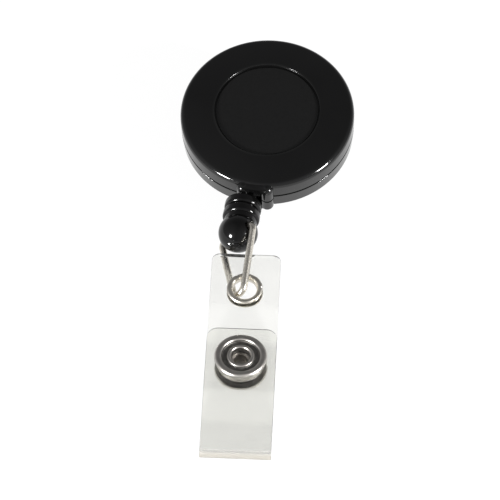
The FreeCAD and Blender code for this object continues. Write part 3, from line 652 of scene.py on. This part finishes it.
class MakeStrap(bpy.types.Operator):
    """Vinyl strap: one strip, cut flat with its holes, then bent as two pieces that meet in the crease"""
    bl_idname = "badge.make_strap"
    bl_label = "Vinyl strap"

    def execute(self, context):
        sizes = context.scene.badge_strap
        path = StrapPath(sizes)
        eyelet_y = (STRAP_PLACE.inverted() @ middle_of("eyelet")).y
        eyelet = context.scene.badge_eyelet
        snap = context.scene.badge_snap
        holes = [(path.where(eyelet_y), eyelet.inner + eyelet.wall + 0.01 * MM),
                 (path.where(0.0), snap.hole - 0.05 * MM),
                 (path.where(0.0, True), snap.hole + 0.5 * MM)]
        fold = joint_point("flap_open")
        crease = path.where((STRAP_PLACE.inverted() @ fold).y + sizes.fold_radius * 2)
        mesh = cut_strip(sizes, path.length, holes)
        back = self.bend("vinyl_strap", mesh.copy(), path, holes, crease, False)
        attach(back, "strap")
        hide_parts("strap_back")
        flap = self.bend("vinyl_flap", mesh, path, holes, crease, True)
        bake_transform(flap)
        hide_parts("strap_flap")
        return {"FINISHED"}

    def bend(self, name, mesh, path, holes, crease, beyond):
        """One side of the crease, sliced while flat and then bent along the strap's middle line."""
        sizes = bpy.context.scene.badge_strap
        work = bmesh.new()
        work.from_mesh(mesh)
        bmesh.ops.remove_doubles(work, verts=work.verts, dist=1e-6)
        gap = 0.01 * MM if beyond else -0.01 * MM
        calm = 9 * MM            # distance from the snap at which the waves have their full height
        cut = bmesh.ops.bisect_plane(work, geom=work.verts[:] + work.edges[:] + work.faces[:],
                                     plane_co=Vector((0, crease + gap, 0)), plane_no=Vector((0, 1, 0)),
                                     dist=1e-7, clear_outer=not beyond, clear_inner=beyond)
        open_edges = [part for part in cut["geom_cut"] if isinstance(part, bmesh.types.BMEdge)]
        bmesh.ops.edgeloop_fill(work, edges=open_edges)
        slice_mesh(work, (0, 1, 0), strip_slices(path))
        slice_mesh(work, (1, 0, 0), [sizes.width * (k / 8 - 0.5) for k in range(1, 8)])
        for vertex in work.verts:
            x, s, height = vertex.co
            ahead = path.direction_at(s)
            up = Vector((-ahead.y, ahead.x))
            wave = noise.noise(Vector((x / (6 * MM), s / (8 * MM), 0.3))) * sizes.ripple
            free = 1.0
            for snap_s, _ in holes[1:]:
                free *= min(1.0, abs(s - snap_s) / calm)
            side = path.point_at(s) + up * height
            vertex.co = STRAP_PLACE @ Vector((x, side.x, side.y + abs(wave) * free))
        bmesh.ops.recalc_face_normals(work, faces=work.faces)
        work.to_mesh(mesh)
        work.free()
        return dress(bpy.data.objects.new(name, mesh), "clear_vinyl", SHARP_VINYL)


def strip_slices(path):
    """Places to cut the strip across before it is bent: close together at the fold."""
    fold = path.where(min(point.x for point in path.points) + 0.05 * MM)
    places = []
    s = 0.5 * MM
    while s < path.length - 0.3 * MM:
        near_fold = abs(s - fold) < 1.6 * MM
        s += 0.1 * MM if near_fold else 0.6 * MM
        places.append(s)
    return places


# ---------------------------------------------------------------- case
def combine(body, tools, operation):
    """Joins tools to a body, or cuts them from it, exactly, and removes the tools."""
    for tool in tools:
        step = body.modifiers.new("step", "BOOLEAN")
        step.operation = operation
        step.solver = "EXACT"
        step.object = tool
    bpy.context.view_layer.update()
    made = bpy.data.meshes.new_from_object(body.evaluated_get(bpy.context.evaluated_depsgraph_get()))
    body.modifiers.clear()
    body.data = made
    for tool in tools:
        bpy.data.objects.remove(tool)


def box_piece(low, high, place):
    """Straight-sided tool body between two corners."""
    points = [place @ Vector((x, y, z)) for x in (low[0], high[0]) for y in (low[1], high[1])
              for z in (low[2], high[2])]
    piece = new_piece("tool", points, [(0, 1, 3, 2), (4, 6, 7, 5), (0, 4, 5, 1), (2, 3, 7, 6), (0, 2, 6, 4),
                                       (1, 5, 7, 3)], "glossy_black_abs")
    fix_normals(piece)
    return piece


class MakeFrontCover(bpy.types.Operator):
    """Front cover: domed glossy face, satin label recess, hollow inside, and the two cord guide posts"""
    bl_idname = "badge.make_front_cover"
    bl_label = "Front cover"

    def execute(self, context):
        c = context.scene.badge_cover
        base = c.edge_height + (c.radius - c.edge_radius) ** 2 / (2 * c.crown) - c.crown
        cavity = c.radius - c.wall
        recess_top = self.face_height(c, base, c.recess)
        floor = recess_top - c.recess_depth
        roof = floor - c.wall
        edge = 0.1 * MM
        outline = [Vector((0, roof + c.socket_depth)), Vector((c.socket, roof + c.socket_depth)),
                   Vector((c.socket, roof)), Vector((cavity, roof)), Vector((cavity, c.lip_foot)),
                   Vector((cavity + c.lip - edge, c.lip_foot)),
                   Vector((cavity + c.lip, c.lip_foot + edge)),
                   Vector((cavity + c.lip, c.seam)), Vector((c.radius - 0.05 * MM, c.seam)),
                   Vector((c.radius, c.seam + 0.05 * MM))]
        outline += self.outer_edge(c, base)
        face_start = c.radius - c.edge_radius * 1.4
        for k in range(13):
            r = face_start - (face_start - c.recess - edge) * k / 12
            outline.append(Vector((r, self.face_height(c, base, r))))
        foot = c.recess - c.draft
        outline += rounded([(c.recess + edge * 2, recess_top, 0), (c.recess, recess_top, edge * 0.9),
                            (foot, floor - c.groove, 0), (foot - c.groove, floor - c.groove, 0),
                            (foot - c.groove * 1.2, floor, 0)], 5)[1:]
        outline += [Vector((c.recess * k / 6, floor)) for k in (4, 2)] + [Vector((0, floor))]
        cover = turned_piece("front_shell", outline, CASE_PLACE, "glossy_black_abs", 288)
        self.close_axis(cover)
        spacing = c.exit_width / 2 + c.post_radius
        posts = []
        for side in (-1, 1):
            post = rounded([(0, c.seam, 0), (c.post_radius, c.seam, 0),
                            (c.post_radius, c.post_top, c.post_radius * 0.96), (0, c.post_top, 0)], 12)
            place = CASE_PLACE @ Matrix.Translation((side * spacing, -c.post_reach, 0))
            posts.append(turned_piece("tool", post, place, "glossy_black_abs", 64))
            self.close_axis(posts[-1])
        plate = box_piece((-spacing, -c.post_reach - 0.9 * MM, c.exit_top),
                          (spacing, -cavity, c.post_top - 0.15 * MM), CASE_PLACE)
        combine(cover, posts + [plate], "UNION")
        slot = box_piece((-c.exit_width / 2, -c.post_reach - 2 * c.post_radius, c.exit_floor - 1 * MM),
                         (c.exit_width / 2, -cavity + c.wall, c.exit_top), CASE_PLACE)
        combine(cover, [slot], "DIFFERENCE")
        dress(cover, "glossy_black_abs", SHARP_COVER)
        self.satin_recess(cover, floor, foot - c.groove)
        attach(cover, "case")
        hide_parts("front_cover")
        return {"FINISHED"}

    def face_height(self, c, base, radius):
        return base + sqrt(c.crown ** 2 - radius ** 2)

    def outer_edge(self, c, base):
        """Quarter round from the straight side to the domed face."""
        reach = c.radius - c.edge_radius
        centre_z = base + sqrt((c.crown - c.edge_radius) ** 2 - reach ** 2)
        tilt = atan2(reach, centre_z - base)
        return [Vector((reach + c.edge_radius * cos(a), centre_z + c.edge_radius * sin(a)))
                for a in [(pi / 2 - tilt) * k / 14 for k in range(15)]]

    def close_axis(self, piece):
        """Joins the points on the axis, and drops the faces that have no area there."""
        work = bmesh.new()
        work.from_mesh(piece.data)
        bmesh.ops.remove_doubles(work, verts=work.verts, dist=1e-7)
        bmesh.ops.recalc_face_normals(work, faces=work.faces)
        work.to_mesh(piece.data)
        work.free()

    def satin_recess(self, cover, floor, radius):
        """The label recess's floor came from a spark-eroded patch of the tool."""
        cover.data.materials.append(spark_eroded_abs())
        centre = CASE_PLACE @ Vector((0, 0, floor))
        up = CASE_PLACE.to_3x3() @ Vector((0, 0, 1))
        for face in cover.data.polygons:
            off = face.center - centre
            if face.normal.dot(up) > 0.98 and abs(off.dot(up)) < 0.02 * MM and off.length < radius:
                face.material_index = 1


# ---------------------------------------------------------------- metal pieces
class MakeSnapRing(bpy.types.Operator):
    """Front ring of the snap: raised rim, groove and rolled tube end"""
    bl_idname = "badge.make_snap_ring"
    bl_label = "Snap ring"

    def execute(self, context):
        sizes = context.scene.badge_snap
        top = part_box("snap_socket")[1].z + context.scene.badge_strap.thickness
        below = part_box("snap_ring")[0].z
        valley = top + 0.28 * MM
        rim = top + sizes.rim_height
        roll = rim - 0.14 * MM
        wall = 0.4 * MM
        outline = rounded([
            (sizes.hole, below, 0), (sizes.hole, roll, 0.34 * MM), (sizes.roll_outer, roll, 0.34 * MM),
            (sizes.roll_outer + 0.05 * MM, valley, 0.1 * MM),
            (sizes.rim_inner - 0.06 * MM, valley, 0.1 * MM),
            (sizes.rim_inner, rim, 0.5 * MM), (sizes.radius, rim, 0.55 * MM),
            (sizes.radius, top + 0.02 * MM, 0.12 * MM), (sizes.radius - 0.35 * MM, top, 0),
            (sizes.hole + wall + 0.06 * MM, top, 0), (sizes.hole + wall, below, 0)], 8)
        ring = turned_piece("snap_front_ring", outline, STRAP_PLACE, "dark_nickel_snap", 160)
        ring.data.materials.append(painted_shade_plate())
        # Painted shade: the groove's faces take the darkened plate
        for face in ring.data.polygons:
            off = STRAP_PLACE.inverted() @ face.center
            radius = sqrt(off.x ** 2 + off.y ** 2)
            if sizes.roll_outer - 0.05 * MM < radius < sizes.rim_inner + 0.06 * MM and off.z > top:
                face.material_index = 1
            # painted shade on the lower inside of the hole
            if radius < sizes.hole + 0.01 * MM and off.z < top + 0.2 * MM:
                face.material_index = 1
        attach(ring, "flap")
        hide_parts("snap_ring")
        return {"FINISHED"}


class MakeEyelet(bpy.types.Operator):
    """Eyelet: its barrel, its rolled back and its set front edge, split in a few places"""
    bl_idname = "badge.make_eyelet"
    bl_label = "Eyelet"

    def execute(self, context):
        sizes = context.scene.badge_eyelet
        half = context.scene.badge_strap.thickness / 2
        centre = EYELET_PLACE.copy()
        centre.translation = strap_middle_at_eyelet(context)
        inner, outer = sizes.inner, sizes.outer
        foot = -half - sizes.foot_height
        top = half + sizes.roll_height
        rest = half + 0.01 * MM
        outline = rounded([
            (inner, foot, 0.2 * MM), (outer, foot, 0.16 * MM), (outer, -rest, 0.08 * MM),
            (inner + sizes.wall, -rest, 0), (inner + sizes.wall, rest, 0), (outer, rest, 0.12 * MM),
            (outer, top, 0.36 * MM), (inner, top, 0.5 * MM)], 9)
        sound = 0.62 * MM                                       # width of the rim that isn't split
        cracks = [(-0.62, 0.035), (-0.98, 0.05), (0.1, 0.03), (2.1, 0.03)]      # angle, half width

        def warp(radius, height, angle):
            """Splits and waves the set edge, more towards its outside, and leaves the rest round."""
            if height < rest * 0.9 or radius < inner + sound:
                return radius, height
            reach = (radius - inner - sound) / (outer - inner - sound)
            split = sum(max(0.0, 1 - abs((angle - at + pi) % (2 * pi) - pi) / width)
                        for at, width in cracks)
            wave = noise.noise(Vector((cos(angle) * 1.4, sin(angle) * 1.4, 4.0)))
            radius -= reach * (abs(wave) * 0.14 * MM + min(1.0, split) * sizes.crack_depth)
            height -= (height - rest) * reach * min(1.0, split) * 0.35
            return radius, height

        eyelet = turned_piece("set_eyelet", outline, centre, "nickel_eyelet", 220, warp)
        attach(eyelet, "strap")
        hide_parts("eyelet")
        return {"FINISHED"}


def strap_middle_at_eyelet(context):
    path = StrapPath(context.scene.badge_strap)
    y = (STRAP_PLACE.inverted() @ middle_of("eyelet")).y
    middle = path.point_at(path.where(y))
    return STRAP_PLACE @ Vector((0, middle.x, middle.y))


class MakeCord(bpy.types.Operator):
    """Cord from the winding, out past the guide posts and into the fitting"""
    bl_idname = "badge.make_cord"
    bl_label = "Pull cord"

    def execute(self, context):
        radius = context.scene.badge_cord.diameter / 2
        feed_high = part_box("cord_feed")[1]
        end_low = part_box("cord_end")[0]
        winding = Vector((feed_high.x - radius, feed_high.y - radius * 0.6, feed_high.z - radius))
        gate = CASE_PLACE @ Vector((0.1 * MM, -14.0 * MM, 3.2 * MM))
        mouth = CASE_PLACE @ Vector((-0.35 * MM, -16.2 * MM, 2.9 * MM))
        inside = CORD_LINE + Vector((0, -1.6 * MM, 0))
        end = Vector((inside.x, end_low.y, inside.z))
        route = [winding, gate, mouth, inside, end]
        cord = tube_piece("pull_cord", smooth_route(route, 10), radius, "black_nylon_cord")
        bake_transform(cord)
        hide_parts("cord_feed", "cord_end")
        return {"FINISHED"}


def smooth_route(points, steps):
    """Catmull-Rom curve through the points."""
    line = []
    padded = [points[0] * 2 - points[1]] + points + [points[-1] * 2 - points[-2]]
    for i in range(1, len(padded) - 2):
        a, b, c, d = padded[i - 1:i + 3]
        for k in range(steps):
            t = k / steps
            line.append(0.5 * (2 * b + (c - a) * t + (2 * a - 5 * b + 4 * c - d) * t * t
                               + (3 * b - a - 3 * c + d) * t * t * t))
    line.append(points[-1])
    return line


def tube_piece(name, line, radius, slot, sides=20):
    points = []
    side = Vector((0, 0, 1))
    for i, place in enumerate(line):
        ahead = (line[min(i + 1, len(line) - 1)] - line[max(i - 1, 0)]).normalized()
        side = (side - ahead * side.dot(ahead)).normalized()
        other = ahead.cross(side)
        for k in range(sides):
            angle = 2 * pi * k / sides
            points.append(place + (side * cos(angle) + other * sin(angle)) * radius)
    faces = []
    for i in range(len(line) - 1):
        for k in range(sides):
            a, b = i * sides + k, i * sides + (k + 1) % sides
            faces.append((a, b, b + sides, a + sides))
    faces.append(tuple(reversed(range(sides))))
    faces.append(tuple(range((len(line) - 1) * sides, len(line) * sides)))
    piece = new_piece(name, points, faces, slot)
    fix_normals(piece)
    return piece


# ---------------------------------------------------------------- finishes of the CAD nodes
class FinishNodes(bpy.types.Operator):
    """Finishes of the pieces whose shape comes from the design as it is"""
    bl_idname = "badge.finish_nodes"
    bl_label = "Finishes"

    def execute(self, context):
        slots = {part["node"]: part["material_slot"] for part in frame["record"]["subparts"]}
        for name, node in frame["nodes"].items():
            if node.hide_render:
                continue
            node.data.materials.clear()
            node.data.materials.append(finish_for(slots[name]))
            shade(node, SHARP_NODE)
        return {"FINISHED"}


# ---------------------------------------------------------------- stage
SOFTBOX_DISTANCE = 0.55
SOFTBOXES = (("left_softbox", Vector((-0.60, -0.72, 0.35)), 0.12, 6.0),
             ("right_softbox", Vector((0.82, -0.32, 0.46)), 0.11, 5.5))
FLOOR_GAP = 0.02 * MM
CAMERA_AIM = Vector((0.32 * MM, 3.2 * MM, 0))
ROOM_DARK = (0.13, 0.13, 0.133, 1)
ROOM_LIGHT = (0.55, 0.55, 0.56, 1)
BACKDROP = (0.88, 0.88, 0.88, 1)


class MakeStage(bpy.types.Operator):
    """White sweep, two softboxes, the room around them, and the camera"""
    bl_idname = "badge.make_stage"
    bl_label = "Stage"

    def execute(self, context):
        sizes = context.scene.badge_stage
        self.floor(context, sizes)
        self.room(context)
        for softbox in SOFTBOXES:
            self.softbox(*softbox)
        self.camera(context, sizes)
        return {"FINISHED"}

    def floor(self, context, sizes):
        half, z = sizes.floor_half, -FLOOR_GAP
        mesh = bpy.data.meshes.new("white_floor")
        mesh.from_pydata([(-half, -half, z), (half, -half, z), (half, half, z), (-half, half, z)], [],
                         [(0, 1, 2, 3)])
        floor = bpy.data.objects.new("white_floor", mesh)
        context.scene.collection.objects.link(floor)
        mesh.materials.append(white_sweep())

    def room(self, context):
        """Dark overhead, lighter at the sides, in front and low down, and pale where the camera sees it."""
        world = bpy.data.worlds.new("studio_room")
        context.scene.world = world
        world.use_nodes = True
        tree = world.node_tree
        background = tree.nodes["Background"]
        place = add_node(tree, "ShaderNodeTexCoord").outputs["Generated"]
        parts = add_node(tree, "ShaderNodeSeparateXYZ", None, {0: place})
        side = calculated(tree, "ABSOLUTE", {0: parts.outputs["X"]})
        front = calculated(tree, "MULTIPLY_ADD", {0: parts.outputs["Y"]}, {1: -0.5, 2: 0.1})
        both = calculated(tree, "MULTIPLY_ADD", {0: side, 2: front}, {1: 0.6})
        low = calculated(tree, "MULTIPLY_ADD", {0: parts.outputs["Z"]}, {1: -0.65, 2: 0.65})
        most = calculated(tree, "MAXIMUM", {0: both, 1: low})
        tree.links.new(tinted(tree, spread(tree, most, 0.0, 1.0, 0.1, 0.8), ROOM_DARK, ROOM_LIGHT),
                       background.inputs["Color"])
        seen = add_node(tree, "ShaderNodeBackground", {"Color": BACKDROP})
        path = add_node(tree, "ShaderNodeLightPath")
        mix = add_node(tree, "ShaderNodeMixShader", None,
                       {0: path.outputs["Is Camera Ray"], 1: background.outputs["Background"],
                        2: seen.outputs["Background"]})
        tree.links.new(mix.outputs["Shader"], tree.nodes["World Output"].inputs["Surface"])

    def softbox(self, name, toward, width, power):
        """Square lamp that faces the reel from a direction; width in metres, power in watts."""
        light = bpy.data.lights.new(name, "AREA")
        light.shape = "SQUARE"
        light.size = width
        light.energy = power
        lamp = bpy.data.objects.new(name, light)
        lamp.location = toward.normalized() * SOFTBOX_DISTANCE
        lamp.rotation_mode = "QUATERNION"
        lamp.rotation_quaternion = (-toward).to_track_quat("-Z", "Y")
        bpy.context.scene.collection.objects.link(lamp)

    def camera(self, context, sizes):
        lens = bpy.data.cameras.new("camera")
        lens.sensor_width = 36.0
        lens.lens = sizes.lens
        camera = bpy.data.objects.new("camera", lens)
        a, e = sizes.camera_azimuth, sizes.camera_elevation
        back = Vector((sin(a) * cos(e), -cos(a) * cos(e), sin(e)))
        camera.location = CAMERA_AIM + back * sizes.camera_distance
        camera.rotation_mode = "QUATERNION"
        camera.rotation_quaternion = (-back).to_track_quat("-Z", "Y")
        context.scene.collection.objects.link(camera)
        context.scene.camera = camera
        context.scene.view_settings.view_transform = "Standard"


class BadgePanel(bpy.types.Panel):
    """Lists the badge reel's pieces and their sizes"""
    bl_idname = "VIEW3D_PT_badge_reel"
    bl_label = "Badge Reel"
    bl_space_type = "VIEW_3D"
    bl_region_type = "UI"
    bl_category = "Badge Reel"

    def draw(self, context):
        for operator in OPERATORS:
            self.layout.operator(operator.bl_idname)
        for attribute, group in SETTINGS:
            box = self.layout.box()
            for name in group.__annotations__:
                box.prop(getattr(context.scene, attribute), name)


OPERATORS = (MakeFrontCover, MakeStrap, MakeSnapRing, MakeEyelet, MakeCord, FinishNodes, MakeStage)


def register():
    for attribute, group in SETTINGS:
        bpy.utils.register_class(group)
        setattr(bpy.types.Scene, attribute, bpy.props.PointerProperty(type=group))
    for operator in OPERATORS:
        bpy.utils.register_class(operator)
    bpy.utils.register_class(BadgePanel)


def unregister():
    bpy.utils.unregister_class(BadgePanel)
    for operator in reversed(OPERATORS):
        bpy.utils.unregister_class(operator)
    for attribute, group in reversed(SETTINGS):
        delattr(bpy.types.Scene, attribute)
        bpy.utils.unregister_class(group)


def main():
    register()
    for operator in OPERATORS:
        group, name = operator.bl_idname.split(".")
        getattr(getattr(bpy.ops, group), name)()


if __name__ == "__main__":
    main()
